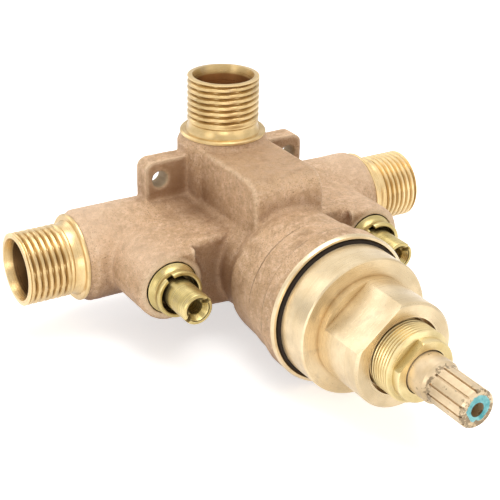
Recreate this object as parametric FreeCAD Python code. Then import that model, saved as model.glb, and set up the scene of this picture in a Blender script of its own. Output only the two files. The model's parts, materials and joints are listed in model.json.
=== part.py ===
"""Pressure balancing shower valve with built-in service stops, in millimetres.

The hot arm, the cold arm, the shower outlet and the spindle meet at the origin.
+X is the cold side, +Z is up, +Y goes into the wall and -Y comes forward to the user.
A "forward" distance is measured from the origin towards the user, so it lies at Y = -forward.
"""
import FreeCAD, Part
import math
import os

V = FreeCAD.Vector
CENTRE = V(0, 0, 0)
FORWARD = V(0, -1, 0)

# Pipe ports
port_reach = 66.8
outlet_reach = 47.3
thread_radius = 10.5
thread_length = 13.4
thread_chamfer = 0.9
thread_relief = 0.4
flare_radius = 11.0
flare_length = 3.0
shoulder_radius = 12.65
shoulder_length = 1.8
shoulder_chamfer = 0.4
port_bore_radius = 8.2
port_bore_depth = 20.0
passage_radius = 7.2

# Casting: arms, barrel, outlet block and fixing lugs
pipe_radius = 13.5
pipe_end_taper = 1.6
barrel_rear_radius = 17.0
barrel_back = 13.5
barrel_back_round = 5.0
swell_length = 7.0
swell_drop = 2.35
shoulder_band_length = 9.5
band_length = 8.5
band_drop = 1.45
band_step = 0.4
rim_length = 6.0
rim_step = 0.7
rim_wall = 3.35
rim_draft = 0.15
rim_chamfer = 0.5
rim_land = 0.55
neck_rise = 1.0
block_half_width = 11.25
block_front = 37.0
block_front_slope = 2.5
block_brow = 6.0
block_edge_round = 1.2
block_front_wall = 3.7
block_roof_wall = 2.6
lug_drop = 3.0
lug_half_width = 26.6
lug_forward = 2.1
lug_thickness = 6.2
lug_corner = 3.0
lug_hole_radius = 2.4
lug_hole_inset = 4.65
lug_hole_drop = 5.7

# Service stops
stop_offset = 33.5
boss_radius = 10.1
boss_round = 1.6
boss_flat_length = 7.5
web_drop = 3.0
web_barrel_half_height = 12.3
web_round = 2.0
stop_seat = 9.5
stop_seat_radius = 4.0
stop_chamber_radius = 6.4
bush_length = 9.0
bush_thread_radius = 7.2
bush_head_step = 0.25
bush_head_length = 2.0
bush_head_gap = 0.15
bush_neck_radius = 6.2
bush_neck_length = 2.0
bush_lip_radius = 6.9
bush_lip_rise = 1.4
bush_lip_length = 1.4
bush_mouth_gap = 0.73
bush_mouth_depth = 5.5
bush_slot_width = 2.0
bush_slot_depth = 2.2
bush_slot_angle = 118.0
stem_radius = 4.47
stem_reach = 9.8
stem_chamfer = 0.4
stem_wall = 1.47
stem_bore_depth = 9.0
stem_slot_width = 1.3
stem_slot_depth = 2.0
stem_slot_angle = 38.0
stem_spigot_radius = 1.8
stem_spigot_length = 2.2
stop_ring_thickness = 1.1
stop_ring_length = 2.0
stop_ring_inset = 3.0
disc_wall = 0.9
disc_web = 2.5
disc_rim = 2.0
disc_room = 3.5
stop_washer_radius = 4.7
stop_washer_length = 2.45
stop_travel = 4.0

# Barrel cavity and seats
supply_back = 4.0
supply_radius = 8.0
hot_seat_back = 6.0
hot_seat_length = 3.0
hot_seat_radius = 10.0
hot_seat_hole = 5.0
hot_gallery_gap = 1.5
hot_gallery_length = 11.5
land_length = 2.0
cold_gallery_gap = 2.0
cold_gallery_length = 5.5
cold_seat_radius = 13.8
cold_seat_wall = 2.72
cold_seat_length = 2.5
mixing_gap = 0.4
feed_radius = 3.0
outlet_passage_radius = 5.5
outlet_drop_radius = 2.5

# Balancing spindle, its sleeve and its washers
hot_washer_length = 2.0
hot_washer_radius = 6.4
retainer_wall = 1.2
retainer_web = 2.2
retainer_rim = 1.0
screw_radius = 1.5
screw_head_radius = 3.0
screw_head_length = 1.6
plug_length = 1.6
plug_boss_radius = 4.0
plug_boss_length = 2.4
sleeve_wall = 2.5
sleeve_flange_inset = 0.4
sleeve_flange_length = 2.0
cold_washer_inset = 0.6
cold_washer_length = 1.5
port_hole_radius = 1.4
mixed_hole_radius = 2.2
hot_port_inset = 1.65
cold_port_inset = 1.5
ports_per_row = 2
piston_back_room = 3.55
piston_front_room = 6.0
piston_length = 23.0
piston_land = 4.0
piston_waist = 2.85
piston_bore_radius = 3.0
spigot_length = 8.0
spindle_flange_length = 3.5
collar_radius = 9.0
collar_length = 10.5
spindle_rise = 3.0
travel_margin = 1.0
journal_radius = 5.9
journal_reach = 5.55
journal_step = 0.8
spline_lead = 1.6
spline_radius = 5.2
spline_length = 12.5
spline_count = 12
spline_width = 0.64
spline_depth = 0.55
spline_angle = 7.5
spindle_chamfer = 0.5
handle_hole_radius = 1.95
handle_hole_depth = 14.0

# Bonnet, packing and packing nut
shank_radius = 18.4
shank_length = 12.0
rim_lead = 2.5
o_ring_section = 0.95
countersink_depth = 2.4
flange_step = 1.2
flange_length = 9.95
flange_chamfer = 0.4
neck_radius = 14.9
neck_length = 17.25
neck_chamfer = 0.7
flat_apothem = 12.4
flat_length = 15.0
flat_angle = 130.0
bonnet_bore_gap = 1.2
guide_length = 3.0
packing_radius = 8.85
packing_length = 3.3
packing_washer_length = 1.0
nut_bore_gap = 0.3
nut_thread_radius = 10.0
nut_mouth_gap = 0.85
nut_mouth_depth = 3.0
nut_reach = 8.95
nut_flat_length = 2.5
nut_shoulder_length = 1.4
nut_front_radius = 8.6
nut_apothem = 7.2
nut_flat_angle = 133.0

# Clearances
running = 0.05
guide_running = 0.08
seat_gap = 0.05
side_gap = 0.2

# Working values: how far a cutter runs past what it cuts, and how near counts as the same place
overshoot = 1.0
same_place = 1e-4

# Radii that follow from the fits
sleeve_radius = cold_seat_radius - cold_seat_wall - guide_running
sleeve_bore_radius = sleeve_radius - sleeve_wall
hot_gallery_radius = sleeve_radius + hot_gallery_gap
cold_gallery_radius = sleeve_radius + cold_gallery_gap
mixing_radius = cold_seat_radius + mixing_gap
bonnet_bore_radius = sleeve_radius + bonnet_bore_gap
nut_bore_radius = journal_radius + nut_bore_gap
rim_radius = shank_radius + rim_wall
flange_radius = shank_radius + flange_step
o_ring_radius = shank_radius + running + o_ring_section
bush_head_radius = bush_thread_radius + bush_head_step

# Stations along the spindle axis, from the back to the front
hot_seat_face = hot_seat_back + hot_seat_length
hot_washer_back = hot_seat_face + seat_gap
hot_washer_front = hot_washer_back + hot_washer_length
retainer_front = hot_washer_front + retainer_web
sleeve_back = retainer_front + side_gap
plug_front = sleeve_back + plug_length
plug_boss_front = plug_front + plug_boss_length
hot_gallery_front = hot_seat_face + hot_gallery_length
land_front = hot_gallery_front + land_length
cold_seat_back = land_front + cold_gallery_length
cold_seat_face = cold_seat_back + cold_seat_length
cold_washer_back = cold_seat_face + seat_gap
cold_washer_front = cold_washer_back + cold_washer_length
sleeve_flange_front = cold_washer_front + sleeve_flange_length
piston_back = plug_boss_front + piston_back_room
piston_front = piston_back + piston_length
spigot_back = piston_front + piston_front_room
sleeve_front = spigot_back + spigot_length
spindle_flange_front = sleeve_front + spindle_flange_length
collar_front = spindle_flange_front + collar_length
bonnet_thread_back = spindle_flange_front + spindle_rise + travel_margin
guide_back = collar_front + spindle_rise + travel_margin
guide_front = guide_back + guide_length
packing_back = guide_front + seat_gap
packing_front = packing_back + packing_length
nut_back = packing_front + packing_washer_length
rim_front = spindle_flange_front + rim_lead
rim_back = rim_front - rim_length
band_back = rim_back - band_length
swell_end = band_back - shoulder_band_length
swell_start = swell_end - swell_length
shank_back = rim_front - shank_length
flange_back = rim_front + o_ring_section + seat_gap
flange_front = flange_back + flange_length
neck_front = flange_front + neck_length
nut_front = neck_front + nut_reach
nut_flat_back = nut_front - nut_flat_length
nut_thread_front = nut_flat_back - nut_shoulder_length
journal_front = nut_front + journal_reach
spline_start = journal_front + spline_lead
spindle_front = spline_start + spline_length

# Stations along a service stop, from the seat to the front
stop_washer_back = stop_seat + seat_gap + stop_travel
stop_washer_front = stop_washer_back + stop_washer_length
disc_front = stop_washer_front + disc_web
stem_back = disc_front + side_gap
bush_back = disc_front + disc_room
boss_front = bush_back + bush_length
bush_head_back = boss_front - bush_head_length
bush_neck_forward = boss_front + bush_neck_length
bush_lip_back = bush_neck_forward + bush_lip_rise
bush_front = bush_lip_back + bush_lip_length
stem_front = bush_front + stem_reach
stop_ring_back = bush_back + stop_ring_inset
web_front = boss_front - web_drop

# Heights of the outlet block and the lug plate
machined_length = thread_length + flare_length + shoulder_length
block_top = outlet_reach - machined_length - neck_rise
outlet_passage_height = block_top - block_roof_wall - outlet_passage_radius
outlet_passage_front = block_front - block_front_wall
lug_top = block_top - lug_drop
lug_hole_height = lug_top - lug_hole_drop
lug_hole_offset = lug_half_width - lug_hole_inset


def lathe_points(outline):
    """Points of a (forward, radius) outline in the half plane of the spindle axis."""
    return [V(radius, -forward, 0) for forward, radius in outline]


def turned(outline):
    """Solid turned about the spindle axis from (forward, radius) corners."""
    corners = lathe_points(outline)
    face = Part.Face(Part.makePolygon(corners + corners[:1]))
    return face.revolve(CENTRE, FORWARD, 360)


def ring(back, front, inner, outer):
    """Plain ring about the spindle axis."""
    return turned([(back, inner), (back, outer), (front, outer), (front, inner)])


def rounded(solid, radius, rim):
    """The turned solid with the circular edge at a (forward, radius) place rounded."""
    edges = []
    for edge in solid.Edges:
        if not isinstance(edge.Curve, Part.Circle):
            continue
        place = (-edge.Curve.Center.y, edge.Curve.Radius)
        if math.dist(place, rim) < same_place:
            edges.append(edge)
    return solid.makeFillet(radius, edges)


def prism(corners, back, front):
    """Prism along the spindle axis from (x, z) corners."""
    points = [V(x, -back, z) for x, z in corners]
    face = Part.Face(Part.makePolygon(points + points[:1]))
    return face.extrude(FORWARD * (front - back))


def drilled(start, end, radius):
    """Round cutter between two points."""
    along = end - start
    return Part.makeCylinder(radius, along.Length, start, along)


def cross_slot(width, half_length, back, front, degrees):
    """Slot cutter across the spindle axis, turned by an angle."""
    corners = [(-half_length, -width / 2), (half_length, -width / 2),
               (half_length, width / 2), (-half_length, width / 2)]
    slot = prism(corners, back, front)
    return slot.rotated(CENTRE, FORWARD, degrees)


def wrench_flats(back, front, apothem, degrees, reach):
    """Cutter that leaves two flats, one facing the angle, on a round of at most the given radius."""
    kept = cross_slot(2 * apothem, reach + overshoot, back, front, degrees - 90)
    return ring(back, front, 0, reach).cut(kept)


def radial_holes(radius, reach, forward, count):
    """Ring of radial drill cutters about the spindle axis."""
    start = V(0, -forward, 0)
    hole = Part.makeCylinder(radius, reach, start, V(0, 0, 1))
    return [hole.rotated(CENTRE, FORWARD, 360 / count * turn) for turn in range(count)]


def at_stop(solid, side):
    """Stop piece made on the spindle axis, moved to the hot (-1) or cold (+1) stop."""
    return solid.translated(V(side * stop_offset, 0, 0))


def pipe_arm(reach):
    """Cast pipe with its machined shoulder, flare and male thread, running forward."""
    thread_back = reach - thread_length
    flare_back = thread_back - flare_length
    cast_end = flare_back - shoulder_length
    return turned([(0, 0), (0, pipe_radius), (cast_end - pipe_end_taper, pipe_radius),
                   (cast_end, shoulder_radius), (flare_back - shoulder_chamfer, shoulder_radius),
                   (flare_back, shoulder_radius - shoulder_chamfer), (flare_back, flare_radius),
                   (thread_back, thread_radius - thread_relief), (thread_back, thread_radius),
                   (reach - thread_chamfer, thread_radius), (reach, thread_radius - thread_chamfer),
                   (reach, 0)])


def pipe_bore(reach, inner_end):
    """Cutter for the machined port bore and the cored passage behind it."""
    step = reach - port_bore_depth
    return turned([(inner_end, 0), (inner_end, passage_radius), (step, passage_radius),
                   (step, port_bore_radius), (reach, port_bore_radius), (reach, 0)])


def barrel():
    """Round body of the valve, swelling forward in a soft curve to its banded rim."""
    swell_radius = rim_radius - swell_drop
    band_radius = rim_radius - band_drop
    rim_rear = rim_radius - rim_draft
    swell_middle = (swell_start + swell_end) / 2
    rear = lathe_points([(-barrel_back, 0), (-barrel_back, barrel_rear_radius),
                         (swell_start, barrel_rear_radius)])
    swell = Part.BezierCurve()
    swell.setPoles(lathe_points([(swell_start, barrel_rear_radius), (swell_middle, barrel_rear_radius),
                                 (swell_middle, swell_radius), (swell_end, swell_radius)]))
    front = lathe_points([(swell_end, swell_radius), (band_back, band_radius - band_step),
                          (band_back, band_radius), (rim_back, rim_rear - rim_step), (rim_back, rim_rear),
                          (rim_front - rim_chamfer, rim_radius), (rim_front, rim_radius - rim_chamfer),
                          (rim_front, 0), (-barrel_back, 0)])
    edges = Part.makePolygon(rear).Edges + [swell.toShape()] + Part.makePolygon(front).Edges
    solid = Part.Face(Part.Wire(edges)).revolve(CENTRE, FORWARD, 360)
    return rounded(solid, barrel_back_round, (-barrel_back, barrel_rear_radius))


def outlet_block():
    """Passage block from the barrel to the outlet neck, its roof curving over into its sloping front."""
    corners = [V(-block_half_width, 0, 0), V(-block_half_width, 0, block_top),
               V(-block_half_width, -block_front, block_top),
               V(-block_half_width, -block_front - block_front_slope, 0)]
    side = Part.Face(Part.makePolygon(corners + corners[:1]))
    block = side.extrude(V(2 * block_half_width, 0, 0))
    roof_front = V(0, -block_front, block_top)
    brow = [edge for edge in block.Edges if (edge.CenterOfMass - roof_front).Length < same_place]
    block = block.makeFillet(block_brow, brow)
    sides = []
    for edge in block.Edges:
        middle = edge.CenterOfMass
        on_side = abs(abs(middle.x) - block_half_width) < same_place
        if on_side and middle.y < -same_place and middle.z > same_place:
            sides.append(edge)
    return block.makeFillet(block_edge_round, sides)


def lug_plate():
    """Fixing plate across the back of the neck, with rounded top corners and two screw holes."""
    plate = Part.makeBox(2 * lug_half_width, lug_thickness, lug_top,
                         V(-lug_half_width, -lug_forward, 0))
    corners = []
    for edge in plate.Edges:
        middle = edge.CenterOfMass
        if abs(abs(middle.x) - lug_half_width) < same_place and abs(middle.z - lug_top) < same_place:
            corners.append(edge)
    plate = plate.makeFillet(lug_corner, corners)
    for side in (-1, 1):
        start = V(side * lug_hole_offset, -lug_forward - overshoot, lug_hole_height)
        plate = plate.cut(drilled(start, start + V(0, lug_thickness + 2 * overshoot, 0), lug_hole_radius))
    return plate


def front_edges(solid, front):
    """Upper and lower edges of a web's front face."""
    places = [(edge, edge.CenterOfMass) for edge in solid.Edges]
    return [edge for edge, middle in places
            if abs(middle.y + front) < same_place and abs(middle.z) > same_place]


def stop_boss(side):
    """Boss of one service stop, with the flat-sided web that ties it to the barrel."""
    inner = stop_offset - boss_flat_length
    disc = rounded(ring(0, boss_front, 0, boss_radius), boss_round, (boss_front, boss_radius))
    boss = at_stop(disc, side)
    flat = prism([(side * stop_offset, -boss_radius), (side * inner, -boss_radius),
                  (side * inner, boss_radius), (side * stop_offset, boss_radius)], 0, boss_front)
    web = prism([(side * stop_offset, -boss_radius), (0, -web_barrel_half_height),
                 (0, web_barrel_half_height), (side * stop_offset, boss_radius)], 0, web_front)
    flat = flat.makeFillet(boss_round, front_edges(flat, boss_front))
    web = web.makeFillet(web_round, front_edges(web, web_front))
    return boss.fuse([flat, web])


def barrel_cavity():
    """Cutter for the stepped bore that holds the seats, the spindle and the bonnet."""
    land = sleeve_radius + guide_running
    hot_bore = hot_seat_radius + running
    cold_bore = cold_seat_radius + running
    shank_bore = shank_radius + running
    mixing_front = shank_back - travel_margin
    countersink = rim_radius - rim_land
    return turned([(-supply_back, 0), (-supply_back, supply_radius), (hot_seat_back, supply_radius),
                   (hot_seat_back, hot_bore), (hot_seat_face, hot_bore),
                   (hot_seat_face, hot_gallery_radius), (hot_gallery_front, hot_gallery_radius),
                   (hot_gallery_front, land), (land_front, land),
                   (land_front, cold_gallery_radius), (cold_seat_back, cold_gallery_radius),
                   (cold_seat_back, cold_bore), (cold_seat_face, cold_bore),
                   (cold_seat_face, mixing_radius), (mixing_front, mixing_radius),
                   (mixing_front, shank_bore), (rim_front - countersink_depth, shank_bore),
                   (rim_front, countersink), (rim_front + overshoot, countersink),
                   (rim_front + overshoot, 0)])


def stop_bore(side):
    """Cutter for a stop's seat hole, chamber and bush thread."""
    thread_bore = bush_thread_radius + running
    head_bore = bush_head_radius + bush_head_gap
    bore = turned([(0, 0), (0, stop_seat_radius), (stop_seat, stop_seat_radius),
                   (stop_seat, stop_chamber_radius), (bush_back, stop_chamber_radius),
                   (bush_back, thread_bore), (bush_head_back, thread_bore),
                   (bush_head_back, head_bore), (boss_front + overshoot, head_bore),
                   (boss_front + overshoot, 0)])
    return at_stop(bore, side)


def feeds():
    """Cored passages from the stop chambers to the hot supply and the cold gallery."""
    stop_exit = stop_offset - stop_chamber_radius / 2
    hot_start = V(-stop_exit, -stop_seat - feed_radius, 0)
    hot_end = V(-supply_radius / 2, 0, 0)
    cold_start = V(stop_exit, -stop_washer_front, 0)
    cold_end = V(sleeve_radius, -(land_front + cold_seat_back) / 2, 0)
    return [drilled(hot_start, hot_end, feed_radius), drilled(cold_start, cold_end, feed_radius)]


def outlet_passages():
    """Cored way from the mixing chamber through the block to the outlet neck."""
    level = V(0, 0, outlet_passage_height)
    turn = V(0, -outlet_passage_front, outlet_passage_height)
    foot = V(0, -outlet_passage_front, sleeve_radius)
    return [drilled(level, turn, outlet_passage_radius), drilled(turn, foot, outlet_drop_radius)]


def valve_body():
    """One bronze casting with its machined ends and bores."""
    arm = pipe_arm(port_reach)
    hot_arm = arm.rotated(CENTRE, V(0, 0, 1), -90)
    cold_arm = arm.rotated(CENTRE, V(0, 0, 1), 90)
    neck = pipe_arm(outlet_reach).rotated(CENTRE, V(1, 0, 0), -90)
    pieces = [hot_arm, cold_arm, neck, outlet_block(), lug_plate(), stop_boss(-1), stop_boss(1)]
    casting = barrel().fuse(pieces)
    inlet_end = stop_offset - stop_seat_radius - travel_margin
    inlet = pipe_bore(port_reach, inlet_end)
    outlet = pipe_bore(outlet_reach, outlet_passage_height - outlet_passage_radius)
    cutters = [inlet.rotated(CENTRE, V(0, 0, 1), -90), inlet.rotated(CENTRE, V(0, 0, 1), 90),
               outlet.rotated(CENTRE, V(1, 0, 0), -90), barrel_cavity(), stop_bore(-1), stop_bore(1)]
    return casting.cut(cutters + feeds() + outlet_passages()).removeSplitter()


def bonnet():
    """Turned cap: shank, flange, round neck with two milled flats, and its stepped bore."""
    mouth = nut_thread_radius + nut_mouth_gap
    nut_bore = nut_thread_radius + running
    nut_bore_back = nut_back - travel_margin
    packing_bore = packing_radius + running
    collar_bore = collar_radius + running
    solid = turned([(shank_back, bonnet_bore_radius), (shank_back, shank_radius),
                    (flange_back, shank_radius), (flange_back, flange_radius),
                    (flange_front - flange_chamfer, flange_radius),
                    (flange_front, flange_radius - flange_chamfer), (flange_front, neck_radius),
                    (neck_front - neck_chamfer, neck_radius), (neck_front, neck_radius - neck_chamfer),
                    (neck_front, mouth), (neck_front - nut_mouth_depth, mouth),
                    (neck_front - nut_mouth_depth, nut_bore), (nut_bore_back, nut_bore),
                    (nut_bore_back, packing_bore), (guide_front, packing_bore),
                    (guide_front, journal_radius + running), (guide_back, journal_radius + running),
                    (guide_back, collar_bore), (bonnet_thread_back, collar_bore),
                    (bonnet_thread_back, bonnet_bore_radius)])
    return solid.cut(wrench_flats(neck_front - flat_length, neck_front + overshoot, flat_apothem,
                                  flat_angle, flange_radius))


def bonnet_o_ring():
    """Round rubber ring between the flange and the countersunk rim."""
    return Part.makeTorus(o_ring_radius, o_ring_section, V(0, -rim_front, 0), FORWARD)


def packing_nut():
    """Threaded gland nut with two milled flats at its front."""
    solid = turned([(nut_back, nut_bore_radius), (nut_back, nut_thread_radius),
                    (nut_thread_front, nut_thread_radius), (nut_flat_back, nut_front_radius),
                    (nut_front, nut_front_radius), (nut_front, nut_bore_radius)])
    return solid.cut(wrench_flats(nut_flat_back, nut_front + overshoot, nut_apothem, nut_flat_angle,
                                  nut_thread_radius))


def spindle():
    """Turned spindle with its screw collar, journal and splined handle end."""
    spigot_radius = sleeve_bore_radius - running
    hole_back = spindle_front - handle_hole_depth
    solid = turned([(spigot_back, 0), (spigot_back, spigot_radius), (sleeve_front, spigot_radius),
                    (sleeve_front, sleeve_radius), (spindle_flange_front, sleeve_radius),
                    (spindle_flange_front, collar_radius), (collar_front, collar_radius),
                    (collar_front, journal_radius), (journal_front, journal_radius),
                    (journal_front + journal_step, spline_radius),
                    (spindle_front - spindle_chamfer, spline_radius),
                    (spindle_front, spline_radius - spindle_chamfer),
                    (spindle_front, handle_hole_radius), (hole_back, handle_hole_radius), (hole_back, 0)])
    root = spline_radius - spline_depth
    crest = spline_radius + overshoot
    groove = prism([(-spline_width / 4, root), (spline_width / 4, root), (spline_width / 2, spline_radius),
                    (spline_width / 2, crest), (-spline_width / 2, crest),
                    (-spline_width / 2, spline_radius)], spline_start, spindle_front + overshoot)
    step = 360 / spline_count
    angles = [spline_angle + step * tooth for tooth in range(spline_count)]
    return solid.cut([groove.rotated(CENTRE, FORWARD, angle) for angle in angles])


def balancing_sleeve():
    """Ported sleeve on the spindle's inner end, with the flange that carries the cold washer."""
    flange = cold_seat_radius - sleeve_flange_inset
    solid = turned([(sleeve_back, sleeve_bore_radius), (sleeve_back, sleeve_radius),
                    (cold_washer_front, sleeve_radius), (cold_washer_front, flange),
                    (sleeve_flange_front, flange), (sleeve_flange_front, sleeve_radius),
                    (sleeve_front, sleeve_radius), (sleeve_front, sleeve_bore_radius)])
    reach = sleeve_radius + overshoot
    mixed_port = piston_front + piston_front_room / 2
    holes = radial_holes(port_hole_radius, reach, plug_front + hot_port_inset, ports_per_row)
    holes += radial_holes(port_hole_radius, reach, land_front + cold_port_inset, ports_per_row)
    holes += radial_holes(mixed_hole_radius, reach, mixed_port, ports_per_row)
    return solid.cut(holes)


def balancing_piston():
    """Hollow spool with a land at each end and one in the middle."""
    land = sleeve_bore_radius - running
    waist = land - piston_waist
    middle_back = (piston_back + piston_front - piston_land) / 2
    middle_front = middle_back + piston_land
    return turned([(piston_back, piston_bore_radius), (piston_back, land),
                   (piston_back + piston_land, land), (piston_back + piston_land, waist),
                   (middle_back, waist), (middle_back, land), (middle_front, land), (middle_front, waist),
                   (piston_front - piston_land, waist), (piston_front - piston_land, land),
                   (piston_front, land), (piston_front, piston_bore_radius)])


def sleeve_end_plug():
    """Plug in the sleeve's inner end, with a boss for the washer screw."""
    return turned([(sleeve_back, screw_radius), (sleeve_back, sleeve_bore_radius - running),
                   (plug_front, sleeve_bore_radius - running), (plug_front, plug_boss_radius),
                   (plug_boss_front, plug_boss_radius), (plug_boss_front, screw_radius)])


def washer_retainer():
    """Cup that holds the hot washer and swivels on its screw."""
    hole = screw_radius + running
    cup_back = hot_washer_front - retainer_rim
    cup_radius = hot_washer_radius + retainer_wall
    return turned([(hot_washer_front, hole), (hot_washer_front, hot_washer_radius),
                   (cup_back, hot_washer_radius), (cup_back, cup_radius), (retainer_front, cup_radius),
                   (retainer_front, hole)])


def washer_screw():
    """Screw that keeps the hot washer and its retainer on the plug."""
    head_back = hot_seat_face - screw_head_length
    return turned([(head_back, 0), (head_back, screw_head_radius), (hot_seat_face, screw_head_radius),
                   (hot_seat_face, screw_radius), (plug_boss_front, screw_radius), (plug_boss_front, 0)])


def stop_bush():
    """Bush of a service stop: thread, flush head, dished neck and slotted lip."""
    bore = stem_radius + running
    groove = bore + stop_ring_thickness
    groove_front = stop_ring_back + stop_ring_length
    mouth = bore + bush_mouth_gap
    mouth_back = bush_front - bush_mouth_depth
    solid = turned([(bush_back, bore), (bush_back, bush_thread_radius),
                    (bush_head_back, bush_thread_radius), (bush_head_back, bush_head_radius),
                    (boss_front, bush_head_radius), (bush_neck_forward, bush_neck_radius),
                    (bush_lip_back, bush_lip_radius), (bush_front, bush_lip_radius),
                    (bush_front, mouth), (mouth_back, mouth), (mouth_back, bore), (groove_front, bore),
                    (groove_front, groove), (stop_ring_back, groove), (stop_ring_back, bore)])
    return solid.cut(cross_slot(bush_slot_width, bush_head_radius + overshoot,
                                bush_front - bush_slot_depth, bush_front + overshoot, bush_slot_angle))


def stop_stem():
    """Hollow stem of a service stop with a screwdriver slot and an inner spigot."""
    spigot_end = stem_back - side_gap - stem_spigot_length
    bore = stem_radius - stem_wall
    bore_back = stem_front - stem_bore_depth
    solid = turned([(spigot_end, 0), (spigot_end, stem_spigot_radius), (stem_back, stem_spigot_radius),
                    (stem_back, stem_radius), (stem_front - stem_chamfer, stem_radius),
                    (stem_front, stem_radius - stem_chamfer), (stem_front, bore), (bore_back, bore),
                    (bore_back, 0)])
    return solid.cut(cross_slot(stem_slot_width, stem_radius + overshoot, stem_front - stem_slot_depth,
                                stem_front + overshoot, stem_slot_angle))


def stop_disc():
    """Cup that swivels on the stem and holds the stop washer."""
    hole = stem_spigot_radius + running
    cup_back = stop_washer_front - disc_rim
    cup_radius = stop_washer_radius + disc_wall
    return turned([(stop_washer_front, hole), (stop_washer_front, stop_washer_radius),
                   (cup_back, stop_washer_radius), (cup_back, cup_radius), (disc_front, cup_radius),
                   (disc_front, hole)])


def stop_pieces(side_name, side):
    """The five pieces of one service stop."""
    seal_inner = stem_radius + running
    shapes = {
        "stop_bush": stop_bush(),
        "stop_stem": stop_stem(),
        "stop_disc": stop_disc(),
        "stop_washer": ring(stop_washer_back, stop_washer_front, 0, stop_washer_radius),
        "stop_o_ring": ring(stop_ring_back, stop_ring_back + stop_ring_length, seal_inner,
                            seal_inner + stop_ring_thickness),
    }
    return {side_name + "_" + name: at_stop(shape, side) for name, shape in shapes.items()}


def all_pieces():
    """Every piece of the valve by node name."""
    cold_washer_radius = cold_seat_radius - cold_washer_inset
    pieces = {
        "valve_body": valve_body(),
        "bonnet": bonnet(),
        "bonnet_o_ring": bonnet_o_ring(),
        "packing_nut": packing_nut(),
        "packing_ring": ring(packing_back, packing_front, journal_radius + running, packing_radius),
        "packing_washer": ring(packing_front, nut_back, nut_bore_radius, packing_radius),
        "spindle": spindle(),
        "balancing_sleeve": balancing_sleeve(),
        "balancing_piston": balancing_piston(),
        "sleeve_end_plug": sleeve_end_plug(),
        "hot_seat": ring(hot_seat_back, hot_seat_face, hot_seat_hole, hot_seat_radius),
        "hot_washer": ring(hot_washer_back, hot_washer_front, screw_radius + running, hot_washer_radius),
        "washer_retainer": washer_retainer(),
        "washer_screw": washer_screw(),
        "cold_seat": ring(cold_seat_back, cold_seat_face, sleeve_radius + guide_running, cold_seat_radius),
        "cold_washer": ring(cold_washer_back, cold_washer_front, sleeve_radius + running,
                            cold_washer_radius),
    }
    pieces.update(stop_pieces("hot", -1))
    pieces.update(stop_pieces("cold", 1))
    return pieces


os.makedirs("parts", exist_ok=True)
for node, shape in all_pieces().items():
    shape.exportStep("parts/" + node + ".step")
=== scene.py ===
"""Looks of the pressure balancing shower valve: sand-cast bronze, turned brass, threads, light and camera.

Sizes are in millimetres in the valve's own frame and are turned into metres where a mesh, a material or a lamp is
made. A "forward" distance runs from the valve's centre towards the user, along -Y.

In the looks, a noise is (turns per metre, detail, roughness), a spread is (value for 0, value for 1) and a tint is
(value where it begins, value where it is full, most share, colour). A tint without a colour gets it from its piece.
"""

import json
import math

import bmesh
import bpy
import numpy as np
from mathutils import Matrix, Vector, noise
from mathutils.bvhtree import BVHTree


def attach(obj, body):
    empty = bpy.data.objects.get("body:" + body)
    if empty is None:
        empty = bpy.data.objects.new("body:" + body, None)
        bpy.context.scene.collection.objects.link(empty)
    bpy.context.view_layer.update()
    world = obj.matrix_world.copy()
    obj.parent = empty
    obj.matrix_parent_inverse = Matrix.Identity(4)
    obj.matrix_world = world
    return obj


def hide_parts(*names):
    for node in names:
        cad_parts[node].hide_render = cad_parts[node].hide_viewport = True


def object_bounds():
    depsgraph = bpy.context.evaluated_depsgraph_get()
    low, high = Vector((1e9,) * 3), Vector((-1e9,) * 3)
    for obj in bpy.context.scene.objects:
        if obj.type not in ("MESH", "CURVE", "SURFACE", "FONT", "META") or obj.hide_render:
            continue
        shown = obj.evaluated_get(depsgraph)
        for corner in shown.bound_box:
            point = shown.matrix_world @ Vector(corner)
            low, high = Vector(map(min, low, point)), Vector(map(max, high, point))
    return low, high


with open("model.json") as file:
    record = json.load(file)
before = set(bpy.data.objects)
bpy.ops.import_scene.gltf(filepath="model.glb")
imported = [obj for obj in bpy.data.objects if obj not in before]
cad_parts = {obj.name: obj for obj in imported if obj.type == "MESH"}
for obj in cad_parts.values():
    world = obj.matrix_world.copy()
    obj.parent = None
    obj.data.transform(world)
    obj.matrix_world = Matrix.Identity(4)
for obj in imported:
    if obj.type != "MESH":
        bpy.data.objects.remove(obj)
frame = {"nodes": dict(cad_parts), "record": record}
cad_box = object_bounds()
MM = 0.001

# Camera fitted to the photograph: angles in degrees, distances in millimetres, focal length in pixels
IMAGE_SIZE = 500
SENSOR = 36.0
FOCAL_PIXELS = 1344.1
VIEW_DISTANCE = 410.04
VIEW_AZIMUTH = -30.34
VIEW_ELEVATION = 24.58
VIEW_ROLL = 1.36
AIM_RIGHT = 8.83
AIM_UP = -8.23
CLIP_START = 10.0

# Ports
PORT_REACH = 66.8
OUTLET_REACH = 47.3
THREAD_RADIUS = 10.5
THREAD_LENGTH = 13.4
THREAD_PITCH = 1.814
THREAD_DEPTH = 0.95
THREAD_CREST = 0.42
THREAD_CHAMFER = 0.9
FLARE_RADIUS = 11.0
FLARE_LENGTH = 3.0
FLARE_ROOT = 10.1
FLARE_ROWS = 6
SHOULDER_RADIUS = 12.65
SHOULDER_LENGTH = 0.9
SHOULDER_CHAMFER = 0.4
PORT_BORE = 8.15
PORT_MOUTH = 9.05
PORT_MOUTH_DEPTH = 2.6
MACHINED_LENGTH = THREAD_LENGTH + FLARE_LENGTH + SHOULDER_LENGTH
OVERLAP = 0.4

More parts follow.
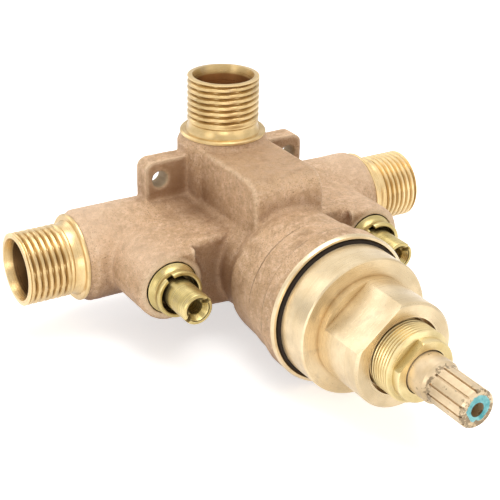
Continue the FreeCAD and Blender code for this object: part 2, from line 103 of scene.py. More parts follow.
# Front of the barrel and its rim
BAND_BACK = 49.5
BAND_RADIUS = 20.3
SHELF_FRONT = 51.0
SHELF_BORE = 14.45
RIM_BACK = 58.0
RIM_STEP_BOTTOM = 20.9
RIM_STEP_TOP = 21.6
RIM_FRONT = 64.3
RIM_RADIUS = 21.75
RIM_CHAMFER = 0.75
RIM_EASE = 0.4
RIM_DEPTH = 1.1
RIM_BORE = 18.5
GROOVE_WIDTH = 0.65
GROOVE_DEPTH = 0.6
COUNTERSINK = 20.75
COUNTERSINK_DEPTH = 2.4

# Packing nut
NUT_BACK = 83.35
NUT_THREAD_FRONT = 98.1
NUT_FLAT_BACK = 98.65
NUT_FLAT_STEP = 0.01
NUT_FRONT = 101.15
NUT_CHAMFER = 0.25
NUT_THREAD_RADIUS = 10.0
NUT_FRONT_RADIUS = 8.6
NUT_BORE = 6.2
NUT_PITCH = 1.0
NUT_THREAD_DEPTH = 0.5
NUT_APOTHEM = 7.2
NUT_FLAT_ANGLE = 133.0

# Service stops; the outside of a bush is (forward, radius), the end of a stem is measured from its front and radius
STOP_OFFSET = 33.5
BOSS_FRONT = 31.0
BUSH_BACK = 22.0
BUSH_THREAD_RADIUS = 7.2
BUSH_HEAD_BACK = 29.0
BUSH_FRONT = 35.8
BUSH_BORE = 4.52
BUSH_MOUTH = 5.65
BUSH_MOUTH_BACK = 30.3
BUSH_OUTSIDE = [(31.0, 7.45), (31.35, 7.05), (31.8, 6.62), (32.3, 6.32), (32.9, 6.15), (33.4, 6.17), (33.9, 6.36),
                (34.3, 6.68), (34.55, 6.86), (34.8, 6.9), (35.35, 6.9), (35.6, 6.82), (35.75, 6.66), (35.8, 6.45),
                (35.8, 5.95), (35.72, 5.78), (35.5, BUSH_MOUTH)]
BUSH_SLOT_WIDTH = 2.0
BUSH_SLOT_DEPTH = 2.2
BUSH_SLOT_ANGLE = 118.0
STOP_SEAL_BACK = 25.0
STOP_SEAL_FRONT = 27.0
STOP_SEAL_RADIUS = 5.62
STEM_RADIUS = 4.47
STEM_BACK = 18.7
STEM_FRONT = 45.6
STEM_END = [(-0.45, 0.0), (-0.15, -0.11), (0.0, -0.32), (0.0, -0.95), (-0.35, -1.0), (-0.35, -1.2), (-0.05, -1.25)]
STEM_SPIGOT_BACK = 16.3
STEM_SPIGOT_RADIUS = 1.8
STEM_BORE = 2.15
STEM_BORE_BACK = 36.6
STEM_COUNTERSINK = 1.7
STEM_SLOT_WIDTH = 1.3
STEM_SLOT_DEPTH = 2.0
STEM_SLOT_ANGLE = 38.0
SLOT_CUTTER_LENGTH = 60.6

# Lug holes and spindle
LUG_HOLE_OFFSET = 21.95
LUG_HOLE_HEIGHT = 19.4
LUG_HOLE_RIM = 2.65
SPLINE_START = 108.3
SPINDLE_FRONT = 120.8
SCREW_HOLE_RADIUS = 1.75

# Rough outline of the bores and passages, which tells the casting's inside from its skin
CAVITY_BACK = -5.0
CAVITY_STATIONS = [38.0, 50.0]
CAVITY_RADII = [15.6, 19.0]
INSIDE_RADIUS = 9.3
ARM_INSIDE_START = 26.0
NECK_INSIDE_START = 14.0
PASSAGE_HEIGHT = 20.0
PASSAGE_RADIUS = 6.3
PASSAGE_BACK = -6.0
PASSAGE_FRONT = 33.9
STOP_INSIDE_RADIUS = 8.8
STOP_INSIDE_SETBACK = 0.5

# Hollow between the barrel and the cold boss, which is filled to a wide fillet
POCKET = (24.5, -29.0, 7.0)
POCKET_REACH = 9.0
POCKET_FADE = 3.5
POCKET_ROUNDS = 240
POCKET_TURNS = 6

# Casting mesh
VOXEL = 0.46
EVEN_ROUNDS = 3
FILLET_ROUNDS = 8
EVEN_STEP = 0.5
HOLLOW_STEP = 0.5
EDGE_STEP = 0.03
SNAP = 0.95
BORE_RELIEF = 0.45
UNEVEN = 0.08
UNEVEN_SIZE = 6.0
UNEVEN_INCREMENT = 0.9
UNEVEN_LACUNARITY = 2.0
UNEVEN_OCTAVES = 4
GRAIN = 0.035
GRAIN_SIZE = 1.0
SKIN_MIDDLE = 0.5
SKIN_LIMIT = 1.5
CASTING_TRIANGLES = 192000
INSIDE_KEEP = 0.25
OUTSIDE_HOLD = 1000.0

# Mesh rows and columns, the sharpest smooth edge in degrees, welding distances in metres and a least divisor
COLUMNS = 112
CAST_COLUMNS = 264
CAST_ROW = 0.5
ROWS_PER_TURN = 10
SHARP_ANGLE = 32.0
AXIS_WELD = 1e-9
SEAM_WELD = 1e-6
CUT_WELD = 1e-7
TINY = 1e-12

# Samples that feel for hollows and edges, and the usual range of a noise
HOLLOW_RAYS = 8
EDGE_RAYS = 6
GRAIN_SPREAD = (0.3, 0.7)

# Cast bronze
CAST_METALLIC = 0.2
CAST_ROUGHNESS = 0.5
CAST_ROUGH_RANGE = (0.42, 0.62)
CAST_SPECULAR = 0.35
CAST_NOISE = {"broad": (90.0, 3.0, 0.6), "patches": (420.0, 4.0, 0.65), "fine": (1500.0, 3.0, 0.7),
              "specks": (3000.0, 2.0, 0.6), "pits": (850.0, 4.0, 0.75), "stains": (190.0, 6.0, 0.72)}
CAST_SPREAD = (0.35, 0.65)
CAST_DEEP = (0.61, 0.385, 0.21)
CAST_PALE = (0.77, 0.51, 0.30)
CAST_TINTS = [("patches", (0.47, 0.70, 1.0, (0.84, 0.59, 0.385))), ("fine", (0.55, 0.75, 1.0, (0.84, 0.62, 0.425))),
              ("specks", (0.44, 0.30, 1.0, (0.35, 0.20, 0.10))), ("pits", (0.47, 0.34, 0.28, (0.34, 0.19, 0.09))),
              ("pits", (0.53, 0.66, 0.28, (0.95, 0.71, 0.50))), ("stains", (0.51, 0.66, 0.6, (0.38, 0.215, 0.105)))]
CAST_BUMP = {"fine": 0.7, "specks": 0.3, "pits": 0.2}
CAST_BUMP_STRENGTH = 1.0
CAST_BUMP_DEPTH = 0.6
# Painted shade: darker colour deep in wide hollows
WIDE_HOLLOW_REACH = 22.0
WIDE_HOLLOW_PAINTED_SHADE = (0.80, 0.36, 1.0, (0.24, 0.115, 0.05))
# Painted highlight: paler colour in the hollow fillets
FILLET_REACH = 3.0
FILLET_PAINTED_HIGHLIGHT = (0.86, 0.60, 0.42, (0.80, 0.57, 0.39))
# Painted shade: darker colour in narrow creases
CREASE_REACH = 0.9
CREASE_PAINTED_SHADE = (0.72, 0.40, 1.0, (0.22, 0.125, 0.06))
# Painted shade: darker colour on the block's upward faces, in patches
BLOCK_SIDES = (14.0, 10.0)
BLOCK_FRONT = (-42.0, -34.0)
BLOCK_UPWARD = (0.3, 0.9)
BLOCK_PATCHES = (0.30, 0.60)
BLOCK_SHARE = 0.5
BLOCK_ROOF_PAINTED_SHADE = (0.42, 0.245, 0.125)
# Painted shade: darker colour on the lugs' forward faces
LUG_FORWARD = (-0.6, -0.9)
LUG_DEPTH = (-8.0, -5.0)
LUG_SHARE = 0.5
LUG_FRONT_PAINTED_SHADE = (0.30, 0.155, 0.07)
# Painted light: paler colour on the arms' upward faces
ARM_SIDES = (26.0, 42.0)
ARM_UPWARD = (0.2, 0.8)
ARM_SHARE = 0.4
ARM_TOP_PAINTED_LIGHT = (0.94, 0.69, 0.48)
# Pale edges of the casting, partly wear and partly painted highlight
WEAR_AND_HIGHLIGHT_REACH = 1.6
WEAR_AND_HIGHLIGHT_SPREAD = (0.86, 0.62)
WEAR_AND_HIGHLIGHT_SHARE = 0.95
WEAR_AND_HIGHLIGHT_COLOUR = (0.94, 0.73, 0.50)
WEAR_AND_HIGHLIGHT_SETBACK = 2.0
WEAR_AND_HIGHLIGHT_OUTLET_SETBACK = 2.5
WEAR_AND_HIGHLIGHT_OUTLET_RADIUS = 14.3
# Painted shade: dark line in the groove at the rim step, in patches
STEP_SHADE_SETBACK = 0.25
STEP_SHADE_WIDTH = (0.24, 0.1)
STEP_SHADE_PATCHES = (0.35, 0.6)
STEP_SHADE_SHARE = 0.6
STEP_PAINTED_SHADE = (0.28, 0.16, 0.08)
DRILLED_DEEP = (0.42, 0.30, 0.17)
DRILLED_PALE = (0.60, 0.46, 0.29)

# Turned brass
BRASS_METALLIC = 0.75
BRASS_ROUGHNESS = 0.3
BRASS_SMOOTHER = 0.06
BRASS_ROUGHER = 0.08
LATHE_CUTS = (2600.0, 3.0, 0.7)
LATHE_BANDS = (420.0, 2.0, 0.6)
LATHE_BUMP = 0.12
LATHE_BUMP_DEPTH = 0.06
BRASS_CLOUDS = (140.0, 4.0, 0.6)
BAND_SHARE = 0.2
BRASS_SPREAD = (0.36, 0.64)
TARNISH_NOISE = (75.0, 3.0, 0.5)
TARNISH = (0.48, 0.66, 0.6)
TARNISH_DEPTH = 0.72
STAIN_NOISE = (260.0, 5.0, 0.65)
STAIN = (0.58, 0.72, 0.45, (0.50, 0.39, 0.26))
# Dark brown of real specks, and of the painted shade in brass hollows where no other colour is given
DIRT_AND_SHADE = (0.08, 0.05, 0.025)
SPECK_NOISE = (1900.0, 2.0, 0.6)
SPECKS = (0.70, 0.78, 0.6, DIRT_AND_SHADE)
# Painted shade in the hollows of turned brass
BRASS_HOLLOW_REACH = 2.5
BRASS_HOLLOW_SHADE = (0.7, 0.2, 1.0)
# Paler edges of turned brass, partly wear and partly painted highlight
BRASS_EDGE_REACH = 0.7
BRASS_EDGE_WEAR_AND_HIGHLIGHT = (0.80, 0.55, 0.5)
EDGE_GAIN = 1.1
EDGE_LIMIT = 0.95
# Painted shade inside bores
BORE_FADE_START = 0.12
BORE_FADE_END = 0.02
BORE_PAINTED_SHADE = ((0.13, 0.072, 0.03), (0.30, 0.185, 0.08))
OUTLET_BORE_PAINTED_SHADE = ((0.27, 0.125, 0.045), (0.54, 0.30, 0.12))
# Colours of painted shade in the port thread roots and in the gap between nut and bonnet
BRASS_ROOT_SHADE = (0.38, 0.24, 0.095)
GAP_SHADE_BROWN = (0.42, 0.25, 0.085)
BONNET_PALE = (0.86, 0.70, 0.46)
BONNET_DEEP = (0.70, 0.54, 0.32)
BONNET_LINES = 0.5
HOT_PALE = (0.84, 0.63, 0.33)
HOT_DEEP = (0.64, 0.44, 0.19)
COLD_PALE = (0.91, 0.69, 0.37)
COLD_DEEP = (0.72, 0.50, 0.22)
OUTLET_PALE = (0.76, 0.56, 0.28)
OUTLET_DEEP = (0.53, 0.365, 0.15)
STOP_PALE = (0.78, 0.63, 0.29)
STOP_DEEP = (0.48, 0.36, 0.12)
STOP_METALLIC = 0.7
STOP_ROUGHNESS = 0.28
STOP_LINES = 0.5
NUT_PALE = (0.85, 0.70, 0.38)
NUT_DEEP = (0.63, 0.48, 0.21)
# Painted shade on the nut's milled flats
NUT_FLAT_PAINTED_SHADE = (0.42, 0.29, 0.09)
FLAT_SHADE_SHARE = 0.75
MILLED_START = 0.12
MILLED_FULL = 0.04
MILLED_SETBACK = 0.02

# Spindle and the paint on its end
SPINDLE_PALE = (0.80, 0.63, 0.41)
SPINDLE_DEEP = (0.60, 0.44, 0.25)
# Colour of the light painted shade in the spindle's grooves
SPINDLE_GROOVE_SHADE = (0.62, 0.46, 0.28)
SPINDLE_METALLIC = 0.55
SPINDLE_ROUGHNESS = 0.36
SPINDLE_LINES = 0.6
SPINDLE_HOLLOW_REACH = 0.9
PAINT_ASIDE = 0.25
PAINT_ABOVE = 0.3
PAINT_RADIUS = 3.5
PAINT_WEAR = 2.6
PAINT_WEAR_NOISE = (700.0, 4.0, 0.6)
PAINT_WEAR_MIDDLE = 0.5
PAINT_DEPTH = 0.1
PAINT_DULLS = -0.5
PAINT_NOISE = (600.0, 4.0, 0.6)
PAINT_SPREAD = (0.35, 0.65)
PAINT_DEEP = (0.03, 0.31, 0.33)
PAINT_PALE = (0.26, 0.60, 0.60)
NICK_NOISE = (700.0, 3.0, 0.6)
NICKS = (0.64, 0.72, 0.7, (0.14, 0.09, 0.045))
NICKS_AT_START = (1.8, 0.3)
NICKS_AT_TIP = (1.6, 0.2)
NICK_GAIN = 0.17
HOLE_NOISE = (1600.0, 2.0, 0.6)
HOLE_SPREAD = (0.45, 0.65)
# Painted shade inside the handle-screw hole
HOLE_SHADE_DEEP = (0.05, 0.03, 0.012)
HOLE_SHADE_PALE = (0.20, 0.13, 0.05)

# Rubber and inner pieces; an inner look is (dark, light, metallic, roughness, noise)
PACKING_LOOK = ((0.16, 0.15, 0.14), (0.32, 0.31, 0.28), 0.0, 0.8, (900.0, 4.0, 0.6))
STEEL_LOOK = ((0.45, 0.45, 0.44), (0.62, 0.62, 0.60), 0.9, 0.3, (600.0, 4.0, 0.6))
RUBBER_ROUGHNESS = 0.6
RUBBER_SPECULAR = 0.1
RUBBER_NOISE = (500.0, 4.0, 0.6)
RUBBER_DEEP = (0.014, 0.009, 0.006)
RUBBER_PALE = (0.040, 0.028, 0.020)
RUBBER_BUMP_NOISE = (1800.0, 4.0, 0.6)
RUBBER_BUMP = 0.2
INNER_BUMP = 0.3
FINE_BUMP_DEPTH = 0.05

# Floor, surround and lamps; a lamp is (place, size, watts)
FLOOR_HALF = 3000.0
FLOOR_ROUGHNESS = 0.9
FLOOR_COLOUR = (0.88, 0.88, 0.88, 1)
FLOOR_GLOW = 0.55
WHITE = (1, 1, 1, 1)
SURROUND_LIGHT = 0.47
SURROUND_SEEN = 0.53
LAMP_TARGET = (0, -30, 5)
LAMPS = {"top": ((40, -10, 640), 520, 2.85), "left": ((-480, -160, 150), 260, 0.3),
         "front": ((150, -430, 10), 300, 0.3), "low": ((-190, -370, -12), 220, 0.5),
         "back": ((-200, 400, 260), 300, 0.36)}


def clipped(value, low=0.0, high=1.0):
    """Value kept between two limits."""
    return min(max(value, low), high)


def smooth_step(value):
    """Value clipped to 0..1 with soft ends."""
    value = clipped(value)
    return value * value * (3 - 2 * value)


def spaced(start, end, step):
    """Evenly spaced stations from start to end."""
    count = max(1, round(abs(end - start) / step))
    return [start + (end - start) * index / count for index in range(count + 1)]


def linked(name, data):
    """New object in the scene."""
    made = bpy.data.objects.new(name, data)
    bpy.context.scene.collection.objects.link(made)
    return made


def add_piece(name, mesh, body, finish):
    """Links a mesh as a piece of the valve with its body and material."""
    piece = linked(name, mesh)
    mesh.materials.clear()
    mesh.materials.append(finish)
    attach(piece, body)
    return piece


def shade(shape):
    """Smooth shading with sharp edges where faces meet at more than a slight angle."""
    crease = math.radians(SHARP_ANGLE)
    for face in shape.faces:
        face.smooth = True
    for edge in shape.edges:
        edge.smooth = edge.calc_face_angle(0) < crease


def solved(mesh, kind, chosen=(), **settings):
    """New mesh that a modifier makes of a mesh, which is deleted; chosen vertices go into a group."""
    holder = linked("holder", mesh)
    if len(chosen):
        holder.vertex_groups.new(name="chosen").add([int(index) for index in chosen], 1.0, "REPLACE")
    modifier = holder.modifiers.new(kind.lower(), kind)
    for name, value in settings.items():
        setattr(modifier, name, value)
    shown = holder.evaluated_get(bpy.context.evaluated_depsgraph_get())
    made = bpy.data.meshes.new_from_object(shown)
    bpy.data.objects.remove(holder)
    bpy.data.meshes.remove(mesh)
    return made


def lathe(name, loop, place, radius_at=None, columns=COLUMNS):
    """Closed turned mesh from (along, radius) rows, which form a loop or start and end on the axis.

    place(along, across, up) gives a point of the valve; radius_at(along, radius, angle) may change a row's radius.
    """
    mesh = bpy.data.meshes.new(name)
    shape = bmesh.new()
    rings = []
    for along, radius in loop:
        ring = []
        for column in range(columns):
            angle = 2 * math.pi * column / columns
            r = radius_at(along, radius, angle) if radius_at else radius
            ring.append(shape.verts.new(Vector(place(along, r * math.cos(angle), r * math.sin(angle))) * MM))
        rings.append(ring)
    on_axis = loop[0][1] == 0
    for row in range(len(rings) - on_axis):
        ring, following = rings[row], rings[(row + 1) % len(rings)]
        for column in range(columns):
            after = (column + 1) % columns
            shape.faces.new((ring[column], ring[after], following[after], following[column]))
    if on_axis:
        bmesh.ops.remove_doubles(shape, verts=rings[0] + rings[-1], dist=AXIS_WELD)
    bmesh.ops.recalc_face_normals(shape, faces=shape.faces[:])
    shade(shape)
    shape.to_mesh(mesh)
    shape.free()
    return mesh


def slotted(mesh, side, width, depth, front, degrees):
    """Turned piece of a service stop with a slot cut across its front."""
    slot = bpy.data.meshes.new("slot")
    shape = bmesh.new()
    bmesh.ops.create_cube(shape, size=MM)
    centre = Matrix.Translation(Vector((side * STOP_OFFSET, -front, 0)) * MM)
    turn = Matrix.Rotation(math.radians(degrees), 4, Vector((0, -1, 0)))
    shape.transform(centre @ turn @ Matrix.Diagonal((SLOT_CUTTER_LENGTH, 2 * depth, width, 1)))
    shape.to_mesh(slot)
    shape.free()
    cutter = linked("slot", slot)
    name = mesh.name
    made = solved(mesh, "BOOLEAN", object=cutter, operation="DIFFERENCE", solver="EXACT")
    made.name = name
    bpy.data.objects.remove(cutter)
    bpy.data.meshes.remove(slot)
    shape = bmesh.new()
    shape.from_mesh(made)
    shade(shape)
    shape.to_mesh(made)
    shape.free()
    return made


def forward(along, across, up):
    """Place on the spindle axis."""
    return across, -along, up


def to_hot(along, across, up):
    """Place on the hot arm's axis."""
    return -along, up, across


def to_cold(along, across, up):
    """Place on the cold arm's axis."""
    return along, across, up


def to_outlet(along, across, up):
    """Place on the outlet's axis."""
    return across, up, along


def stop_place(side):
    """Place on a service stop's axis; side is -1 for the hot stop and 1 for the cold stop."""
    def place(along, across, up):
        return side * STOP_OFFSET + across, -along, up
    return place


def thread_cut(along, angle, pitch):
    """How deep a right-hand thread is cut at a place, 0 on the crest and 1 in the root."""
    turn = (along / pitch - angle / (2 * math.pi)) % 1.0
    return clipped((abs(2 * turn - 1) - THREAD_CREST) / (1 - THREAD_CREST))


def port_end(name, reach, place):
    """Machined end of one port: bright shoulder, flared collar, pipe thread and bore."""
    thread_back = reach - THREAD_LENGTH
    flare_back = thread_back - FLARE_LENGTH
    cast_end = flare_back - SHOULDER_LENGTH
    back = cast_end - OVERLAP
    end_radius = THREAD_RADIUS - THREAD_CHAMFER

    def radius_at(along, radius, angle):
        if radius < end_radius or along < thread_back or along > reach - SHOULDER_CHAMFER:
            return radius
        fade_in = smooth_step((along - thread_back) / THREAD_PITCH)
        limit = min(THREAD_RADIUS, end_radius + (reach - along))
        cut = THREAD_RADIUS - THREAD_DEPTH * fade_in * thread_cut(along, angle, THREAD_PITCH)
        return min(limit, cut)

    loop = [(back, PORT_BORE), (back, SHOULDER_RADIUS - SHOULDER_CHAMFER), (cast_end, SHOULDER_RADIUS),
            (flare_back - SHOULDER_CHAMFER, SHOULDER_RADIUS), (flare_back, SHOULDER_RADIUS - SHOULDER_CHAMFER),
            (flare_back, FLARE_RADIUS)]
    for along in spaced(flare_back, thread_back, FLARE_LENGTH / FLARE_ROWS)[1:]:
        share = (thread_back - along) / FLARE_LENGTH
        loop.append((along, FLARE_ROOT + (FLARE_RADIUS - FLARE_ROOT) * share ** 2))
    loop += [(along, THREAD_RADIUS) for along in spaced(thread_back, reach, THREAD_PITCH / ROWS_PER_TURN)[1:-1]]
    loop += [(reach, end_radius), (reach, PORT_MOUTH), (reach - PORT_MOUTH_DEPTH, PORT_BORE)]
    return lathe(name, loop, place, radius_at)


def cast_skin(point):
    """How far the cast skin lies under its plain form at a place: slow waves and sand grain."""
    waves = noise.fractal(Vector(point) / UNEVEN_SIZE, UNEVEN_INCREMENT, UNEVEN_LACUNARITY, UNEVEN_OCTAVES)
    sand = noise.noise(Vector(point) / GRAIN_SIZE)
    waves, sand = (clipped(SKIN_MIDDLE + value, 0.0, SKIN_LIMIT) for value in (waves, sand))
    return UNEVEN * waves + GRAIN * sand


def barrel_front():
    """Cast front of the barrel: two bands with fine steps, up to the machined rim."""
    rim_back = RIM_FRONT - RIM_DEPTH

    def radius_at(along, radius, angle):
        if radius < BAND_RADIUS - GROOVE_DEPTH - OVERLAP:
            return radius
        return radius - cast_skin(forward(along, radius * math.cos(angle), radius * math.sin(angle)))

    def rows(back, back_radius, front, front_radius):
        slope = (front_radius - back_radius) / (front - back)
        return [(along, back_radius + slope * (along - back)) for along in spaced(back, front, CAST_ROW)]

    band_front = RIM_BACK - GROOVE_WIDTH
    groove = BAND_RADIUS - GROOVE_DEPTH
    loop = [(BAND_BACK, SHELF_BORE), (BAND_BACK, groove), (BAND_BACK + GROOVE_WIDTH, groove)]
    loop += rows(BAND_BACK + GROOVE_WIDTH, BAND_RADIUS, band_front, RIM_STEP_BOTTOM)
    loop += [(band_front, RIM_STEP_BOTTOM - GROOVE_DEPTH), (RIM_BACK, RIM_STEP_BOTTOM - GROOVE_DEPTH)]
    loop += rows(RIM_BACK, RIM_STEP_TOP, rim_back, RIM_RADIUS)
    loop += [(rim_back, RIM_BORE), (SHELF_FRONT, RIM_BORE), (SHELF_FRONT, SHELF_BORE)]
    return lathe("barrel_front", loop, forward, radius_at, CAST_COLUMNS)


def barrel_rim():
    """Machined front of the barrel with its bright chamfer and countersink."""
    back = RIM_FRONT - RIM_DEPTH
    loop = [(back, RIM_BORE), (back, RIM_RADIUS - OVERLAP), (RIM_FRONT - RIM_CHAMFER - RIM_EASE, RIM_RADIUS),
            (RIM_FRONT - RIM_CHAMFER, RIM_RADIUS), (RIM_FRONT, RIM_RADIUS - RIM_CHAMFER / 2),
            (RIM_FRONT, COUNTERSINK)]
    slope = (COUNTERSINK - RIM_BORE) / COUNTERSINK_DEPTH
    loop.append((back, COUNTERSINK - slope * RIM_DEPTH))
    return lathe("barrel_rim", loop, forward)


def packing_nut():
    """Gland nut with a fine thread and two milled flats at its front."""
    flat = math.radians(NUT_FLAT_ANGLE)

    def radius_at(along, radius, angle):
        if radius <= NUT_BORE:
            return radius
        if along <= NUT_THREAD_FRONT:
            return radius - NUT_THREAD_DEPTH * thread_cut(along, angle, NUT_PITCH)
        if along > NUT_FLAT_BACK:
            return min(radius, NUT_APOTHEM / max(abs(math.cos(angle - flat)), TINY))
        return radius

    loop = [(NUT_BACK, NUT_BORE)]
    loop += [(along, NUT_THREAD_RADIUS) for along in spaced(NUT_BACK, NUT_THREAD_FRONT, NUT_PITCH / ROWS_PER_TURN)]
    loop += [(NUT_FLAT_BACK, NUT_FRONT_RADIUS), (NUT_FLAT_BACK + NUT_FLAT_STEP, NUT_FRONT_RADIUS),
             (NUT_FRONT - NUT_CHAMFER, NUT_FRONT_RADIUS), (NUT_FRONT, NUT_FRONT_RADIUS - NUT_CHAMFER),
             (NUT_FRONT, NUT_BORE)]
    return lathe("packing_nut_turned", loop, forward, radius_at)


def stop_bush(name, side):
    """Bush of a service stop: thread, dished neck, rounded slotted lip and a wide mouth."""
    loop = [(BUSH_BACK, BUSH_BORE), (BUSH_BACK, BUSH_THREAD_RADIUS), (BUSH_HEAD_BACK, BUSH_THREAD_RADIUS),
            (BUSH_HEAD_BACK, BUSH_OUTSIDE[0][1])]
    loop += BUSH_OUTSIDE
    loop += [(BUSH_MOUTH_BACK, BUSH_MOUTH), (BUSH_MOUTH_BACK, BUSH_BORE), (STOP_SEAL_FRONT, BUSH_BORE),
             (STOP_SEAL_FRONT, STOP_SEAL_RADIUS), (STOP_SEAL_BACK, STOP_SEAL_RADIUS), (STOP_SEAL_BACK, BUSH_BORE)]
    mesh = lathe(name, loop, stop_place(side))
    return slotted(mesh, side, BUSH_SLOT_WIDTH, BUSH_SLOT_DEPTH, BUSH_FRONT, BUSH_SLOT_ANGLE)


def stop_stem(name, side):
    """Hollow slotted stem of a service stop with a rounded end, a fine ring line and a chamfered bore."""
    loop = [(STEM_SPIGOT_BACK, 0), (STEM_SPIGOT_BACK, STEM_SPIGOT_RADIUS), (STEM_BACK, STEM_SPIGOT_RADIUS),
            (STEM_BACK, STEM_RADIUS)]
    loop += [(STEM_FRONT + along, STEM_RADIUS + out) for along, out in STEM_END]
    loop += [(STEM_FRONT - STEM_COUNTERSINK, STEM_BORE), (STEM_BORE_BACK, STEM_BORE), (STEM_BORE_BACK, 0)]
    mesh = lathe(name, loop, stop_place(side))
    return slotted(mesh, side, STEM_SLOT_WIDTH, STEM_SLOT_DEPTH, STEM_FRONT, STEM_SLOT_ANGLE)


def inside_bores(points):
    """1 for casting points on the bores and passages, 0 for those on the outside."""
    x, y, z = points.T
    ahead = -y
    cavity = (ahead > CAVITY_BACK) & (np.hypot(x, z) < np.interp(ahead, CAVITY_STATIONS, CAVITY_RADII))
    arms = (np.hypot(y, z) < INSIDE_RADIUS) & (np.abs(x) > ARM_INSIDE_START)
    neck = (np.hypot(x, y) < INSIDE_RADIUS) & (z > NECK_INSIDE_START)
    passage = (np.hypot(x, z - PASSAGE_HEIGHT) < PASSAGE_RADIUS) & (ahead > PASSAGE_BACK) & (ahead < PASSAGE_FRONT)
    stops = (np.hypot(np.abs(x) - STOP_OFFSET, z) < STOP_INSIDE_RADIUS) & (ahead > 0)
    stops &= ahead < BOSS_FRONT - STOP_INSIDE_SETBACK
    return (cavity | arms | neck | passage | stops).astype(float)


def trim(shape, point, direction):
    """Cuts a closed shape with a plane and closes the cut."""
    everything = shape.verts[:] + shape.edges[:] + shape.faces[:]
    cut = bmesh.ops.bisect_plane(shape, geom=everything, plane_co=Vector(point) * MM, plane_no=direction,
                                 clear_outer=True, dist=CUT_WELD)
    edges = [item for item in cut["geom_cut"] if isinstance(item, bmesh.types.BMEdge)]
    bmesh.ops.triangle_fill(shape, edges=edges, use_beauty=True)


def casting_mesh():
    """The cast body without its machined ends, with soft fillets and uneven skin."""
    shape = bmesh.new()
    shape.from_mesh(frame["nodes"]["valve_body"].data)
    bmesh.ops.remove_doubles(shape, verts=shape.verts[:], dist=SEAM_WELD)
    arm_end = PORT_REACH - MACHINED_LENGTH
    trim(shape, (arm_end, 0, 0), (1, 0, 0))
    trim(shape, (-arm_end, 0, 0), (-1, 0, 0))
    trim(shape, (0, 0, OUTLET_REACH - MACHINED_LENGTH), (0, 0, 1))
    trim(shape, (0, -BAND_BACK, 0), (0, -1, 0))
    bmesh.ops.recalc_face_normals(shape, faces=shape.faces[:])
    skin = BVHTree.FromBMesh(shape)
    rough = bpy.data.meshes.new("casting_rough")
    shape.to_mesh(rough)
    shape.free()
    mesh = solved(rough, "REMESH", mode="VOXEL", voxel_size=VOXEL * MM)
    inside = soften(mesh, skin)
    thinned = (1 - INSIDE_KEEP) * len(inside) / len(mesh.vertices)
    mesh = solved(mesh, "DECIMATE", inside, ratio=1 - thinned, vertex_group="chosen",
                  vertex_group_factor=OUTSIDE_HOLD)
    mesh.calc_loop_triangles()
    mesh = solved(mesh, "DECIMATE", ratio=min(1.0, CASTING_TRIANGLES / len(mesh.loop_triangles)))
    mesh.name = "casting"
    mesh.shade_smooth()
    return mesh


def read_rows(items, name, width, kind):
    """One property of all vertices, edges or triangles, as rows of numbers."""
    values = np.empty(len(items) * width, dtype=kind)
    items.foreach_get(name, values)
    return values.reshape(-1, width)


def vertex_normals(points, corners):
    """Outward direction at each point of a mesh of triangles."""
    a, b, c = (points[corners[:, index]] for index in range(3))
    across = np.cross(b - a, c - a)
    total = np.stack([np.bincount(corners.ravel(), np.repeat(across[:, axis], 3), len(points))
                      for axis in range(3)], axis=1)
    return total / np.maximum(np.linalg.norm(total, axis=1, keepdims=True), TINY)


def neighbour_pull(points, first, second):
    """Way from each point to the middle of its neighbours; first and second are the ends of the edges."""
    count = len(points)
    total = np.stack([np.bincount(first, points[second, axis], count)
                      + np.bincount(second, points[first, axis], count) for axis in range(3)], axis=1)
    degree = np.bincount(first, minlength=count) + np.bincount(second, minlength=count)
    return total / np.maximum(degree, 1)[:, None] - points


def fill_pocket(points, first, second, corners, bores):
    """Fills the hollow beside the cold boss, moving its points in place."""
    reach = np.linalg.norm(points - np.array(POCKET), axis=1)
    near = np.flatnonzero((reach < POCKET_REACH) & (bores == 0))
    place = np.full(len(points), -1)
    place[near] = np.arange(len(near))
    kept = (place[first] >= 0) & (place[second] >= 0)
    one, other = place[first[kept]], place[second[kept]]
    share = np.clip((POCKET_REACH - reach[near]) / POCKET_FADE, 0, 1) * HOLLOW_STEP
    for _ in range(POCKET_TURNS):
        out = vertex_normals(points, corners)[near]
        moved = points[near]
        for _ in range(POCKET_ROUNDS // POCKET_TURNS):
            pull = neighbour_pull(moved, one, other)
            moved = moved + pull * (share * ((pull * out).sum(axis=1) > 0))[:, None]
        points[near] = moved


def soften(mesh, skin):
    """Fills hollow corners to fillets, breaks outer edges lightly and makes the skin uneven and grainy.

    Returns the vertices that lie inside the bores.
    """
    points = read_rows(mesh.vertices, "co", 3, float) / MM
    first, second = read_rows(mesh.edges, "vertices", 2, np.int64).T
    mesh.calc_loop_triangles()
    corners = read_rows(mesh.loop_triangles, "vertices", 3, np.int64)
    bores = inside_bores(points)
    for _ in range(EVEN_ROUNDS):
        points += EVEN_STEP * neighbour_pull(points, first, second)
    nearest = np.array([skin.find_nearest(Vector(point) * MM)[0] for point in points]) / MM
    points += SNAP * (nearest - points)
    for _ in range(FILLET_ROUNDS):
        pull = neighbour_pull(points, first, second)
        outward = (pull * vertex_normals(points, corners)).sum(axis=1)
        step = np.where(outward > 0, HOLLOW_STEP, EDGE_STEP) * (1 - bores)
        points += pull * step[:, None]
    fill_pocket(points, first, second, corners, bores)
    rough = np.array([cast_skin(point) for point in points])
    sink = rough * (1 - bores) + BORE_RELIEF * bores
    points -= vertex_normals(points, corners) * sink[:, None]
    mesh.vertices.foreach_set("co", (points * MM).ravel())
    mesh.update()
    return np.flatnonzero(bores)


def node(tree, kind, inputs=None, **settings):
    """Adds a shader node; inputs are values or sockets by input name or number."""
    added = tree.nodes.new(kind)
    for name, value in settings.items():
        setattr(added, name, value)
    for name, value in (inputs or {}).items():
        socket = added.inputs[name]
        if isinstance(value, bpy.types.NodeSocket):
            tree.links.new(value, socket)
        else:
            socket.default_value = value
    return added


